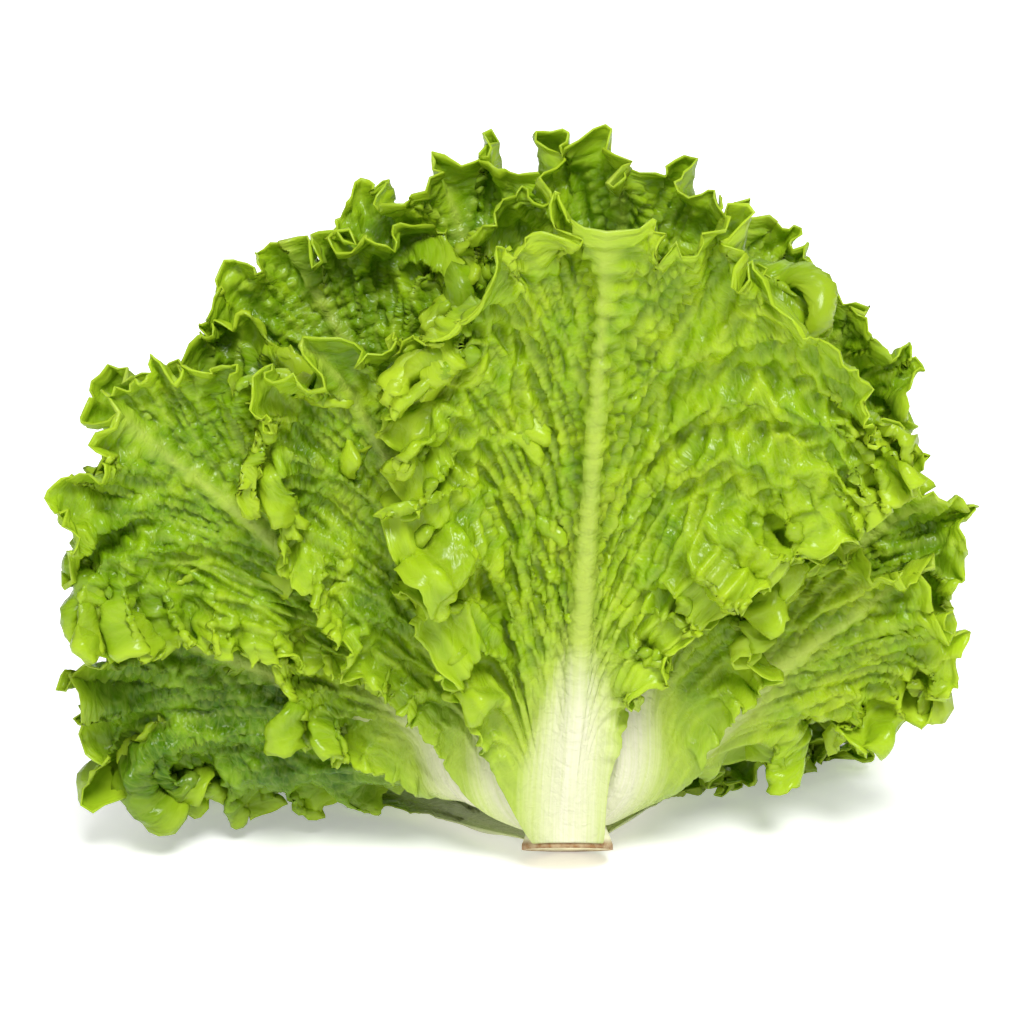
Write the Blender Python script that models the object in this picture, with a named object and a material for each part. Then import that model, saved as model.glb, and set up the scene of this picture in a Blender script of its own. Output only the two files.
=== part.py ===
"""A frilly loose-leaf lettuce head, cut at the stem and resting on a flat surface.

The head leans back on its stem rim and its outer back leaves. Every leaf lies on a cone-like shell
of its own around the stem. The shells are nested, so the leaves never meet. Metres, +Z up, +X to
the right of someone who faces the front leaf, which looks towards -Y.
"""

from math import radians

import bpy
import numpy as np

# Stem
STEM_RADIUS = 0.0185  # at the cut face
STEM_HEIGHT = 0.043
STEM_TIP_RADIUS = 0.0024
LOWEST_FOOT = 0.002  # height of the outermost leaf's foot above the cut face
STEM_SIDES = 28
STEM_RINGS = 7

# How the head opens, as angles away from the stem's axis at the outermost leaves
LEAN_BACK = radians(24)
FRONT_SPLAY = radians(31)
BACK_SPLAY = radians(84)
LEFT_SPLAY = radians(97)
RIGHT_SPLAY = radians(76)
HEART_SPLAY = radians(2.5)
FRONT_OPENING, SIDE_OPENING, BACK_OPENING = 1.0, 0.32, 1.0  # powers: how soon inner leaves open
FRONT_FOOT_SHARE = 0.8  # of the splay is reached at a front leaf's foot, the rest at FULL_LENGTH
BACK_END_SHARE = 0.82  # of the splay at a back leaf's foot and at FULL_LENGTH, where it curls up
FULL_LENGTH = 0.26

# Leaves
LEAF_SCALE = 1.0  # of every leaf's length
BLADE_SCALE = 1.0  # of every leaf's width
LEAF_THICKNESS = 0.0011
RIB_HEIGHT = 0.0013  # the midrib stands out this much from the leaf's outer face
RIB_HALF_WIDTH = 0.006
FOOT_SHARE = 0.62  # of three ring steps: how much of its room a leaf's foot fills
FOOT_LENGTH = 0.05  # over which a foot's thickness becomes the blade's
FOOT_HALF_ANGLE = radians(25)  # of the stem that a foot clasps on each side
FRONT_FOOT_HALF_ANGLE = radians(46)
FOOT_GAP = 0.0004  # between the stem and the feet
TURN_LENGTH = 0.06  # over which a leaf turns from its foot's azimuth to its blade's
TOP_ROUNDING = 0.2
BLADE_FULLNESS = 1.12  # above 1: how broad the top stays
COLUMNS = 4  # of faces on each side of the midrib
ROWS = 10

# Where leaves would reach below the surface they lie on it, each a step above the one outside it
FLOOR_STEP = 0.0009
FLOOR_SOFTNESS = 0.004

# Name, azimuth of the foot and of the blade in degrees (0 in front, 90 to the right), length, the
# blade's width to the left and right of the midrib as seen from outside, and the waist on each
# side: the higher it is, the further out the blade starts to widen. Outermost first.
LEAVES = (
    ("leaf_front", 0, 2, 0.254, 0.068, 0.118, 1.1, 2.4),
    ("leaf_back_left", -135, -142, 0.205, 0.074, 0.070, 1.2, 1.2),
    ("leaf_back_right", 145, 154, 0.172, 0.066, 0.060, 1.2, 1.2),
    ("leaf_front_left", -32, -15, 0.222, 0.050, 0.052, 1.0, 1.2),
    ("leaf_back", 180, 178, 0.212, 0.072, 0.074, 1.2, 1.2),
    ("leaf_front_right", 38, 15, 0.190, 0.046, 0.045, 1.2, 0.6),
    ("leaf_left", -60, -30, 0.238, 0.070, 0.058, 2.6, 1.2),
    ("leaf_back_upper", 165, 158, 0.220, 0.068, 0.066, 1.2, 1.2),
    ("leaf_left_small", -88, -38, 0.128, 0.036, 0.032, 1.2, 1.2),
    ("leaf_right_low", 80, 54, 0.155, 0.043, 0.055, 1.4, 0.95),
    ("leaf_left_low", -65, -52, 0.188, 0.072, 0.046, 0.9, 1.2),
    ("leaf_top_front", 22, 4, 0.256, 0.064, 0.070, 1.2, 1.2),
    ("leaf_side_left", -155, -96, 0.164, 0.056, 0.056, 1.2, 1.2),
    ("leaf_right_upper", 75, 50, 0.184, 0.062, 0.050, 1.2, 1.2),
    ("leaf_back_inner_left", -120, -136, 0.205, 0.062, 0.062, 1.2, 1.2),
    ("leaf_left_upper", -20, -36, 0.230, 0.056, 0.056, 1.2, 1.2),
    ("leaf_back_inner_right", 125, 134, 0.190, 0.060, 0.060, 1.2, 1.2),
    ("leaf_upper_left", -45, -21, 0.240, 0.066, 0.058, 1.2, 1.2),
    ("leaf_side_right", 110, 98, 0.160, 0.056, 0.056, 1.2, 1.2),
    ("leaf_top_left", -5, -9, 0.244, 0.064, 0.062, 1.2, 1.2),
    ("leaf_back_upper_left", -150, -162, 0.222, 0.066, 0.064, 1.2, 1.2),
    ("leaf_right_top", 50, 37, 0.212, 0.060, 0.050, 1.2, 1.2),
    ("leaf_side_left_inner", -95, -90, 0.200, 0.056, 0.056, 1.2, 1.2),
    ("leaf_top_right", 15, 22, 0.222, 0.058, 0.052, 1.2, 1.2),
    ("leaf_back_inner", 178, 176, 0.222, 0.058, 0.058, 1.2, 1.2),
    ("leaf_inner_right", 95, 108, 0.184, 0.050, 0.050, 1.2, 1.2),
    ("leaf_inner_left", -50, -58, 0.206, 0.052, 0.052, 1.2, 1.2),
    ("heart_leaf_right", 30, 44, 0.200, 0.044, 0.044, 1.2, 1.2),
    ("heart_leaf_back", -135, -140, 0.200, 0.046, 0.046, 1.2, 1.2),
    ("heart_leaf_left", -40, -25, 0.200, 0.040, 0.040, 1.2, 1.2),
)

RING_STEP = (STEM_RADIUS - STEM_TIP_RADIUS) / (len(LEAVES) - 1)
FOOT_THICKNESS = FOOT_SHARE * 3 * RING_STEP

LEAF_GREEN = (0.24, 0.42, 0.045, 1.0)
HEART_GREEN = (0.42, 0.58, 0.12, 1.0)
STEM_CREAM = (0.78, 0.70, 0.48, 1.0)


def ring_radius(order):
    """How far from the axis the foot of the leaf on shell `order` stands."""
    return STEM_TIP_RADIUS + (STEM_RADIUS - STEM_TIP_RADIUS) * order


def foot_height(order):
    return LOWEST_FOOT + (STEM_HEIGHT - LOWEST_FOOT) * (1 - order)


def smooth(share):
    share = np.clip(share, 0.0, 1.0)
    return share * share * (3.0 - 2.0 * share)


def shell_point(order, azimuth, length):
    """The point on shell `order` (1 outermost, 0 at the heart), in the stem's own frame."""
    opened = order + 0.02
    side = np.where(np.sin(azimuth) < 0, LEFT_SPLAY, RIGHT_SPLAY) * opened**SIDE_OPENING
    ahead = np.where(
        np.cos(azimuth) < 0, BACK_SPLAY * opened**BACK_OPENING, FRONT_SPLAY * opened**FRONT_OPENING
    )
    across = (HEART_SPLAY + side) * np.sin(azimuth)
    forward = -(HEART_SPLAY + ahead) * np.cos(azimuth)
    splay = np.hypot(across, forward)
    share = length / FULL_LENGTH
    front_share = FRONT_FOOT_SHARE + (1 - FRONT_FOOT_SHARE) * share
    back_share = BACK_END_SHARE + 4 * (1 - BACK_END_SHARE) * share * (1 - share)
    back_weight = (1 - np.cos(azimuth)) / 2
    tilt = splay * (front_share + (back_share - front_share) * back_weight)
    ring = ring_radius(order)
    x = ring * np.sin(azimuth) + length * np.sin(tilt) * across / splay
    y = -ring * np.cos(azimuth) + length * np.sin(tilt) * forward / splay
    z = foot_height(order) + length * np.cos(tilt)
    return np.stack([x, y, z], axis=-1)


def azimuth_at(order, middle, length, offset):
    """The azimuth that lies `offset` metres round the shell from `middle`, at this length."""
    turns = np.linspace(middle - np.pi, middle + np.pi, 721)
    points = shell_point(order, turns, length)
    travelled = np.concatenate([[0.0], np.cumsum(np.linalg.norm(np.diff(points, axis=0), axis=1))])
    travelled -= np.interp(middle, turns, travelled)
    return np.interp(offset, travelled, turns)


def blade_width(share, waist):
    """A spoon shape: 0 at the foot, 1 at its widest, and still broad at the rounded top."""

    def spoon(at):
        return at**waist * (BLADE_FULLNESS - at) ** 0.5

    return spoon(share) / spoon(np.linspace(0, 1, 101)).max()


def lean(points):
    c, s = np.cos(LEAN_BACK), np.sin(LEAN_BACK)
    x, y, z = np.moveaxis(points, -1, 0)
    return np.stack([x, y * c + z * s, z * c - y * s], axis=-1)


def floor_height():
    return -STEM_RADIUS * np.sin(LEAN_BACK)


def laid_on_floor(points, rank, thickness):
    level = floor_height() + LEAF_THICKNESS / 2 + 0.0004 + FLOOR_STEP * rank
    above = (points[..., 2] - level) / FLOOR_SOFTNESS
    height = level + FLOOR_SOFTNESS * np.logaddexp(0.0, above)
    return np.concatenate([points[..., :2], height[..., None]], axis=-1)


def leaf_grid(rank, foot, blade, length, left, right, left_waist, right_waist):
    """Rows of points from foot to top on the leaf's middle surface, and its thickness there."""
    order = 1 - rank / (len(LEAVES) - 1)
    length, left, right = length * LEAF_SCALE, left * BLADE_SCALE, right * BLADE_SCALE
    foot_angle = FRONT_FOOT_HALF_ANGLE if rank == 0 else FOOT_HALF_ANGLE
    foot_half_width = foot_angle * ring_radius(order)
    columns = np.linspace(-1, 1, 2 * COLUMNS + 1)
    across = np.sign(columns) * np.abs(columns) ** 1.3
    points, thickness = [], []
    for share in np.linspace(0, 1, ROWS + 1):
        left_half = left * blade_width(share, left_waist)
        right_half = right * blade_width(share, right_waist)
        half = np.where(across < 0, left_half, right_half) + foot_half_width * (1 - share)
        middle = radians(foot) + radians(blade - foot) * smooth(share * length / TURN_LENGTH)
        row_length = length * share * (1 - TOP_ROUNDING * np.abs(across) ** 3 * share**2)
        row = [
            shell_point(order, azimuth_at(order, middle, at, offset), at)
            for at, offset in zip(row_length, across * half)
        ]
        points.append(row)
        root = smooth(share * length / FOOT_LENGTH)
        sheet = FOOT_THICKNESS + (LEAF_THICKNESS - FOOT_THICKNESS) * root
        rib = RIB_HEIGHT * root * (1 - share) * np.exp(-((across * half / RIB_HALF_WIDTH) ** 2))
        thickness.append(sheet + rib)
    return np.array(points), np.array(thickness)


def sheet_normals(points):
    along = np.gradient(points, axis=0)
    across = np.gradient(points, axis=1)
    normal = np.cross(across, along)
    return normal / np.linalg.norm(normal, axis=-1, keepdims=True)


def closed_sheet(points, thickness):
    """Vertices and faces of a sheet of this thickness, its outer face first, closed at its rim."""
    rows, columns = points.shape[:2]
    normal = sheet_normals(points)
    inner = points - normal * LEAF_THICKNESS / 2
    outer = inner + normal * thickness[..., None]
    vertices = np.concatenate([outer.reshape(-1, 3), inner.reshape(-1, 3)])
    count = rows * columns
    faces = []
    for r in range(rows - 1):
        for c in range(columns - 1):
            a = r * columns + c
            quad = (a, a + 1, a + columns + 1, a + columns)
            faces.append(quad)
            faces.append(tuple(v + count for v in reversed(quad)))
    rim = [c for c in range(columns)]
    rim += [r * columns + columns - 1 for r in range(1, rows)]
    rim += [(rows - 1) * columns + c for c in range(columns - 2, -1, -1)]
    rim += [r * columns for r in range(rows - 2, 0, -1)]
    for a, b in zip(rim, rim[1:] + rim[:1]):
        faces.append((b, a, a + count, b + count))
    return vertices, faces


def material(name, colour, roughness):
    made = bpy.data.materials.new(name)
    made.use_nodes = True
    shader = made.node_tree.nodes["Principled BSDF"]
    shader.inputs["Base Color"].default_value = colour
    shader.inputs["Roughness"].default_value = roughness
    shader.inputs["Metallic"].default_value = 0.0
    made.diffuse_color = colour
    return made


def add_object(name, vertices, faces, finish, parent):
    mesh = bpy.data.meshes.new(name)
    mesh.from_pydata([tuple(map(float, v)) for v in vertices], [], faces)
    mesh.materials.append(finish)
    mesh.shade_smooth()
    mesh.set_sharp_from_angle(angle=radians(50))
    made = bpy.data.objects.new(name, mesh)
    made.parent = parent
    bpy.context.scene.collection.objects.link(made)
    return made


def stem_mesh():
    """A tapered plug, cut flat below, which the leaves' feet stand round."""
    vertices, faces = [], []
    angles = np.linspace(0, 2 * np.pi, STEM_SIDES, endpoint=False)
    orders = np.linspace(1, 0, STEM_RINGS - 1)
    rings = [(1, 0.0)] + [(order, foot_height(order)) for order in orders]
    for order, height in rings:
        radius = ring_radius(order) - FOOT_THICKNESS / 2 - FOOT_GAP
        for angle in angles:
            vertices.append((radius * np.sin(angle), -radius * np.cos(angle), height))
    for ring in range(STEM_RINGS - 1):
        for side in range(STEM_SIDES):
            a, b = ring * STEM_SIDES + side, ring * STEM_SIDES + (side + 1) % STEM_SIDES
            faces.append((a, b, b + STEM_SIDES, a + STEM_SIDES))
    faces.append(tuple(reversed(range(STEM_SIDES))))
    faces.append(tuple(range((STEM_RINGS - 1) * STEM_SIDES, STEM_RINGS * STEM_SIDES)))
    return lean(np.array(vertices)), faces


def build():
    for old in list(bpy.data.objects):
        bpy.data.objects.remove(old)
    head = bpy.data.objects.new("lettuce", None)
    bpy.context.scene.collection.objects.link(head)
    green = material("leaf", LEAF_GREEN, 0.42)
    pale = material("heart_leaf", HEART_GREEN, 0.45)
    cream = material("stem", STEM_CREAM, 0.6)
    made = [add_object("stem", *stem_mesh(), cream, head)]
    for rank, (name, *sizes) in enumerate(LEAVES):
        points, thickness = leaf_grid(rank, *sizes)
        points = laid_on_floor(lean(points), rank, thickness)
        finish = pale if name.startswith("heart") else green
        made.append(add_object(name, *closed_sheet(points, thickness), finish, head))
    corners = np.array([v.co for o in made for v in o.data.vertices])
    low, high = corners.min(axis=0), corners.max(axis=0)
    head.location = (-(low[0] + high[0]) / 2, -(low[1] + high[1]) / 2, -low[2])


build()
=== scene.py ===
from math import cos, pi, radians, sin

import bpy
import numpy as np
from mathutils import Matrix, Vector
from mathutils.bvhtree import BVHTree


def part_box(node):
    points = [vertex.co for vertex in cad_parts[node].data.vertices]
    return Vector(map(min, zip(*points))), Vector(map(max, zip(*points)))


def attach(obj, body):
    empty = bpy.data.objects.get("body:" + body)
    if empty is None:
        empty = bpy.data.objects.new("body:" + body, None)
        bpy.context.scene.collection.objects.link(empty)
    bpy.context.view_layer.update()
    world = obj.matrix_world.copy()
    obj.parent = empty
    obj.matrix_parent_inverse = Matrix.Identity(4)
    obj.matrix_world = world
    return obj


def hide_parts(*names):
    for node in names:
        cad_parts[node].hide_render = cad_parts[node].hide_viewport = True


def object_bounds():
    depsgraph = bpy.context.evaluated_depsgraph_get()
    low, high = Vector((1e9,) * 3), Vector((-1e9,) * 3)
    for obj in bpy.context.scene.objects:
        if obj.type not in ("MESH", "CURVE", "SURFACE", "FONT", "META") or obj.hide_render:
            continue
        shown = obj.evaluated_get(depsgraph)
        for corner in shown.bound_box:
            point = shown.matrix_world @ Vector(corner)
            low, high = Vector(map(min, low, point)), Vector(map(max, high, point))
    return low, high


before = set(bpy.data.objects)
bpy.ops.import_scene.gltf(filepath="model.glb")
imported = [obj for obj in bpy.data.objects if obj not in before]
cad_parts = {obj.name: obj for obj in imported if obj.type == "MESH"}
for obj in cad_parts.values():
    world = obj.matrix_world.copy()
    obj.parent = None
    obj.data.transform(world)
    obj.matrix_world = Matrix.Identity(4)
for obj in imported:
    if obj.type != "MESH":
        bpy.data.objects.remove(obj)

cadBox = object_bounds()

# The head's own sizes, in metres, the same as the solid model's
head = {
    "stemRadius": 0.0185,
    "stemHeight": 0.043,
    "stemTipRadius": 0.0024,
    "lowestFoot": 0.002,
    "leanBack": radians(24),
    "frontSplay": radians(31),
    "backSplay": radians(84),
    "leftSplay": radians(97),
    "rightSplay": radians(76),
    "heartSplay": radians(2.5),
    "sideOpening": 0.32,
    "frontFootShare": 0.8,
    "backEndShare": 0.82,
    "fullLength": 0.26,
    "footHalfAngle": radians(25),
    "frontFootHalfAngle": radians(46),
    "footThickness": 0.00103,
    "footGap": 0.0004,
    "turnLength": 0.06,
    "topRounding": 0.2,
    "bladeFullness": 1.12,
    "leafThickness": 0.0011,
    "floorStep": 0.0009,  # from one leaf that lies on the floor to the next
    "floorGap": 0.0004,
    "floorSoftness": 0.004,
}

# Outermost leaf first. foot and blade are azimuths in degrees, 0 in front and 90 to the right.
# What a leaf doesn't say is as in leafHabit
leafHabit = {
    "waist": (1.2, 1.2),  # left and right: a higher one is narrower above the foot
    "tone": 0.5,  # from deep green at 0 to lime at 1
    "frill": 1.0,  # share of the ruffles' full height
    "flare": (0.75, 0.65),  # how far the side and top margins curl out, in radians
    "detail": 1.0,  # scales the mesh's fineness
    "folds": (),  # each has its place across and along, height, and spreads
    "lobes": (),  # of the top margin: place across, height and spread
}
leaves = {
    "leaf_front": dict(foot=0, blade=2, length=0.254, left=0.068, right=0.118, waist=(1.1, 2.4),
                       tone=0.75, flare=(0.75, 0.75), detail=0.95,
                       folds=((0.0, 0.75, 0.010, 0.09, 0.35), (-0.4, 0.66, -0.004, 0.2, 0.22),
                              (0.28, 0.66, -0.005, 0.16, 0.22), (0.75, 0.6, 0.007, 0.22, 0.3),
                              (-0.85, 0.6, 0.006, 0.2, 0.3)),
                       lobes=((-0.4, 1.2, 0.3), (0.0, 0.6, 0.2), (0.35, 0.8, 0.2))),
    "leaf_back_left": dict(foot=-135, blade=-142, length=0.205, left=0.074, right=0.070, tone=0.3,
                           detail=0.8, flare=(-0.7, 0.3), frill=0.7, waist=(2.6, 2.6)),
    "leaf_back_right": dict(foot=145, blade=154, length=0.172, left=0.066, right=0.060, tone=0.4,
                            detail=0.8, flare=(-0.7, 0.3), frill=0.7, waist=(2.6, 2.6)),
    "leaf_front_left": dict(foot=-32, blade=-15, length=0.222, left=0.050, right=0.052,
                            waist=(1.0, 1.2), tone=0.6),
    "leaf_back": dict(foot=180, blade=178, length=0.212, left=0.072, right=0.074, tone=0.35,
                      detail=0.8, flare=(-0.5, 0.5), waist=(2.0, 2.0)),
    "leaf_front_right": dict(foot=38, blade=15, length=0.190, left=0.046, right=0.045,
                             waist=(1.2, 0.6), tone=0.7),
    "leaf_left": dict(foot=-60, blade=-30, length=0.238, left=0.070, right=0.058,
                      waist=(2.6, 1.2), tone=0.55),
    "leaf_back_upper": dict(foot=165, blade=158, length=0.220, left=0.068, right=0.066, tone=0.4,
                            detail=0.8),
    "leaf_left_small": dict(foot=-88, blade=-38, length=0.128, left=0.036, right=0.032, tone=0.6),
    "leaf_right_low": dict(foot=80, blade=54, length=0.155, left=0.043, right=0.055,
                           waist=(1.4, 0.95), tone=0.8),
    "leaf_left_low": dict(foot=-65, blade=-52, length=0.188, left=0.072, right=0.046,
                          waist=(0.9, 1.2), tone=0.25),
    "leaf_top_front": dict(foot=22, blade=4, length=0.256, left=0.064, right=0.070, tone=0.6),
    "leaf_side_left": dict(foot=-155, blade=-96, length=0.164, left=0.056, right=0.056, tone=0.25),
    "leaf_right_upper": dict(foot=75, blade=50, length=0.184, left=0.062, right=0.050, tone=0.65),
    "leaf_back_inner_left": dict(foot=-120, blade=-136, length=0.205, left=0.062, right=0.062,
                                 tone=0.35, detail=0.8),
    "leaf_left_upper": dict(foot=-20, blade=-36, length=0.230, left=0.056, right=0.056, tone=0.4),
    "leaf_back_inner_right": dict(foot=125, blade=134, length=0.190, left=0.060, right=0.060,
                                  tone=0.45, detail=0.8),
    "leaf_upper_left": dict(foot=-45, blade=-21, length=0.240, left=0.066, right=0.058, tone=0.5),
    "leaf_side_right": dict(foot=110, blade=98, length=0.160, left=0.056, right=0.056, tone=0.5),
    "leaf_top_left": dict(foot=-5, blade=-9, length=0.244, left=0.064, right=0.062, tone=0.55),
    "leaf_back_upper_left": dict(foot=-150, blade=-162, length=0.222, left=0.066, right=0.064,
                                 tone=0.4, detail=0.8),
    "leaf_right_top": dict(foot=50, blade=37, length=0.212, left=0.060, right=0.050, tone=0.55),
    "leaf_side_left_inner": dict(foot=-95, blade=-90, length=0.200, left=0.056, right=0.056,
                                 tone=0.4, detail=0.8),
    "leaf_top_right": dict(foot=15, blade=22, length=0.222, left=0.058, right=0.052, tone=0.6),
    "leaf_back_inner": dict(foot=178, blade=176, length=0.222, left=0.058, right=0.058, tone=0.5,
                            detail=0.8),
    "leaf_inner_right": dict(foot=95, blade=108, length=0.184, left=0.050, right=0.050, tone=0.6,
                             detail=0.8),
    "leaf_inner_left": dict(foot=-50, blade=-58, length=0.206, left=0.052, right=0.052, tone=0.6,
                            detail=0.8),
    "heart_leaf_right": dict(foot=30, blade=44, length=0.200, left=0.044, right=0.044, tone=0.8,
                             detail=0.8),
    "heart_leaf_back": dict(foot=-135, blade=-140, length=0.200, left=0.046, right=0.046, tone=0.8,
                            detail=0.8),
    "heart_leaf_left": dict(foot=-40, blade=-25, length=0.200, left=0.040, right=0.040, tone=0.85,
                            detail=0.8),
}
leafOrder = list(leaves)

meshStep = {"along": 0.00085, "across": 0.0022, "marginCrowding": 0.8}

# How the margins fold, in metres or as shares of the leaf's own sizes
folding = {
    "marginSteps": 420,
    "marginBlend": 0.006,
    "cornerSoftness": 0.006,  # where the side margins turn into the top one
    "ragged": 0.055,
    "raggedBumps": 2.6,
    "raggedSeed": 31,
    "flareWidth": 0.045,
    "flareParts": 7,
    "flareEvened": 24,
    "flareClearance": 0.002,
    "flareRoom": 0.020,
    "flareUse": 1.1,
    "ruffleRoom": 0.014,
    "ruffleUse": 0.9,
    "leastRuffle": 0.12,
    "lentInwards": 0.006,  # room that the next leaf in gives up
    "roomEvened": 12,
    "fullHalfWidth": 0.03,
    "ofHalfWidth": 0.85,  # the widest strip that folds
    "stillFoot": 0.022,
    "footBlend": 0.06,
    "fade": 1.3,
    "drift": 0.6,
    "size": (0.8, 0.5),  # middle and spread
}
# Each ruffle starts its width in from the margin. There it has its full height, wave is its length,
# and over is how far its sides lean. Its directions come from the surface evened this many times
ruffles = (
    {"width": 0.052, "wave": 0.058, "height": 0.0095, "over": 0.4, "evened": 24},
    {"width": 0.034, "wave": 0.025, "height": 0.0074, "over": 0.9, "evened": 20},
    {"width": 0.019, "wave": 0.0115, "height": 0.0050, "over": 1.0, "evened": 12},
    {"width": 0.008, "wave": 0.0056, "height": 0.0015, "over": 0.8, "evened": 4},
)
# How the blades stand out from their smooth shells
spread = {
    "outermost": 0.005,
    "ranks": 14,
    "from": 0.13,  # of the leaf's length, where it is reached
    "wave": 0.066,
    "waveHeight": 0.0035,
    "wander": 0.6,
    "wanderLength": 0.08,
    "rankShift": 0.17,
    "clearOfRib": 0.04,
    "stillFoot": 0.04,
    "footBlend": 0.08,
    "seed": 700,
}
# How far a leaf may go ahead of the solid model, and how near the floor
keptIn = {
    "ahead": 0.0145,
    "aheadSoftness": 0.005,
    "aboveFloor": 0.0015,
    "floorSoftness": 0.003,
    "leastGap": 0.0003,
}
# Side veins leave the midrib steeply and bend outwards
vein = {"rise": 0.0945, "bend": 0.035, "tipSlope": 0.7}
relief = {
    "bladeThickness": 0.0007,
    "ribHeight": 0.0050,  # at the foot
    "ribTipHeight": 0.0010,
    "ribHalfWidth": 0.0080,
    "ribTipHalfWidth": 0.0016,
    "ribRoundness": 2.6,
    "ribRise": 0.03,
    "veinSpacing": 0.017,
    "veinWander": 0.28,
    "veinHalfWidth": 0.0017,
    "veinTaper": 0.6,
    "veinHeight": 0.0011,
    "veinReach": 0.07,  # out from the midrib
    "hollowSize": (0.012, 0.018),  # across and along the veins
    "hollowDepth": 0.0030,
    "hollowAtMargin": 0.35,
    "pucker": 0.0068,
    "puckerHeight": 0.0011,
    "warp": 0.4,
    "warpLength": 0.02,
    "marginStrip": 0.012,
    "smoothFoot": 0.045,
    "footBlend": 0.06,
    "ofRoom": 0.4,  # the most of the room outside that relief takes
    "ribOfRoom": 0.45,
    "lobe": 0.0095,
    "lobeReach": 0.0044,
    "lobeDepth": 0.005,
    "tooth": 0.0031,
    "toothReach": 0.0014,
    "toothDepth": 0.0018,
    "marginEvened": 2,
}


def latticeValue(ix, iy, iz, seed):
    n = (ix * 374761393 + iy * 668265263 + iz * 1440670441 + seed * 1274126177) & 0xFFFFFFFF
    n = ((n ^ (n >> 13)) * 1103515245) & 0xFFFFFFFF
    n = ((n ^ (n >> 15)) * 2246822519) & 0xFFFFFFFF
    return ((n ^ (n >> 16)) & 0xFFFFFF) / 16777215.0


def softNoise(x, y, z, seed):
    # Smooth, from -1 to 1, one bump for about every lattice step
    x, y, z = np.broadcast_arrays(x, y, z)
    ix, iy, iz = (np.floor(v).astype(np.int64) for v in (x, y, z))
    fx, fy, fz = (v - np.floor(v) for v in (x, y, z))
    fx, fy, fz = (v * v * v * (v * (v * 6 - 15) + 10) for v in (fx, fy, fz))
    total = np.zeros(x.shape)
    for dx in (0, 1):
        for dy in (0, 1):
            for dz in (0, 1):
                share = (fx if dx else 1 - fx) * (fy if dy else 1 - fy) * (fz if dz else 1 - fz)
                total += share * latticeValue(ix + dx, iy + dy, iz + dz, seed)
    return total * 2 - 1


def cellEdges(x, y, seed):
    # How far each place is from the border of its cell, 0 on the border and about 0.5 inside
    ix, iy = np.floor(x).astype(np.int64), np.floor(y).astype(np.int64)
    nearest = np.full(x.shape, 9.0)
    second = np.full(x.shape, 9.0)
    for dx in (-1, 0, 1):
        for dy in (-1, 0, 1):
            cx, cy = ix + dx, iy + dy
            px = cx + 0.1 + 0.8 * latticeValue(cx, cy, 1, seed)
            py = cy + 0.1 + 0.8 * latticeValue(cx, cy, 2, seed)
            away = np.hypot(px - x, py - y)
            second = np.minimum(second, np.maximum(nearest, away))
            nearest = np.minimum(nearest, away)
    return second - nearest


def smooth(share):
    share = np.clip(share, 0.0, 1.0)
    return share * share * (3.0 - 2.0 * share)


def ringRadius(order):
    return head["stemTipRadius"] + (head["stemRadius"] - head["stemTipRadius"]) * order


def footHeight(order):
    return head["lowestFoot"] + (head["stemHeight"] - head["lowestFoot"]) * (1 - order)


def shellPoint(order, azimuth, length):
    opened = order + 0.02
    sideSplay = np.where(np.sin(azimuth) < 0, head["leftSplay"], head["rightSplay"])
    side = sideSplay * opened ** head["sideOpening"]
    ahead = np.where(np.cos(azimuth) < 0, head["backSplay"], head["frontSplay"]) * opened
    across = (head["heartSplay"] + side) * np.sin(azimuth)
    forward = -(head["heartSplay"] + ahead) * np.cos(azimuth)
    splay = np.hypot(across, forward)
    share = length / head["fullLength"]
    frontShare = head["frontFootShare"] + (1 - head["frontFootShare"]) * share
    backShare = head["backEndShare"] + 4 * (1 - head["backEndShare"]) * share * (1 - share)
    tilt = splay * (frontShare + (backShare - frontShare) * (1 - np.cos(azimuth)) / 2)
    ring = ringRadius(order)
    x = ring * np.sin(azimuth) + length * np.sin(tilt) * across / splay
    y = -ring * np.cos(azimuth) + length * np.sin(tilt) * forward / splay
    z = footHeight(order) + length * np.cos(tilt)
    return np.stack([x, y, z], axis=-1)


def azimuthsAt(order, middle, length, offset, centre):
    # The azimuths that lie offset metres round the shell from middle, at these lengths
    turns = np.linspace(centre - 1.5 * pi, centre + 1.5 * pi, 1441)
    steps = np.linspace(0, length.max(), 81)
    travelled = []
    for at in steps:
        points = shellPoint(order, turns, at)
        legs = np.linalg.norm(np.diff(points, axis=0), axis=1)
        travelled.append(np.concatenate([[0.0], np.cumsum(legs)]))
    place = np.clip(length / steps[1], 0, len(steps) - 1.000001)
    below = place.astype(int)
    blend = place - below
    found = np.zeros(length.shape)
    for step in range(len(steps) - 1):
        here = below == step
        if not here.any():
            continue
        later = blend[here]
        for table, weight in ((travelled[step], 1 - later), (travelled[step + 1], later)):
            start = np.interp(middle[here], turns, table)
            found[here] += weight * np.interp(start + offset[here], table, turns)
    return found


def bladeWidth(share, waist):
    # From 0 at the foot to 1 at the widest place, and from there on as wide
    def spoon(at):
        return at**waist * (head["bladeFullness"] - at) ** 0.5

    widest = waist * head["bladeFullness"] / (waist + 0.5)
    return spoon(np.minimum(share, widest)) / spoon(widest)


def leanBack(points):
    c, s = cos(head["leanBack"]), sin(head["leanBack"])
    x, y, z = np.moveaxis(points, -1, 0)
    return np.stack([x, y * c + z * s, z * c - y * s], axis=-1)


def stemShift():
    # What the solid model was moved by, read from the stem's own box
    low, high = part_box("stem")
    reach = head["stemRadius"] - head["footThickness"] / 2 - head["footGap"]
    return np.array([
        (low.x + high.x) / 2,
        low.y + reach * cos(head["leanBack"]),
        low.z + reach * sin(head["leanBack"]),
    ])


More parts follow.
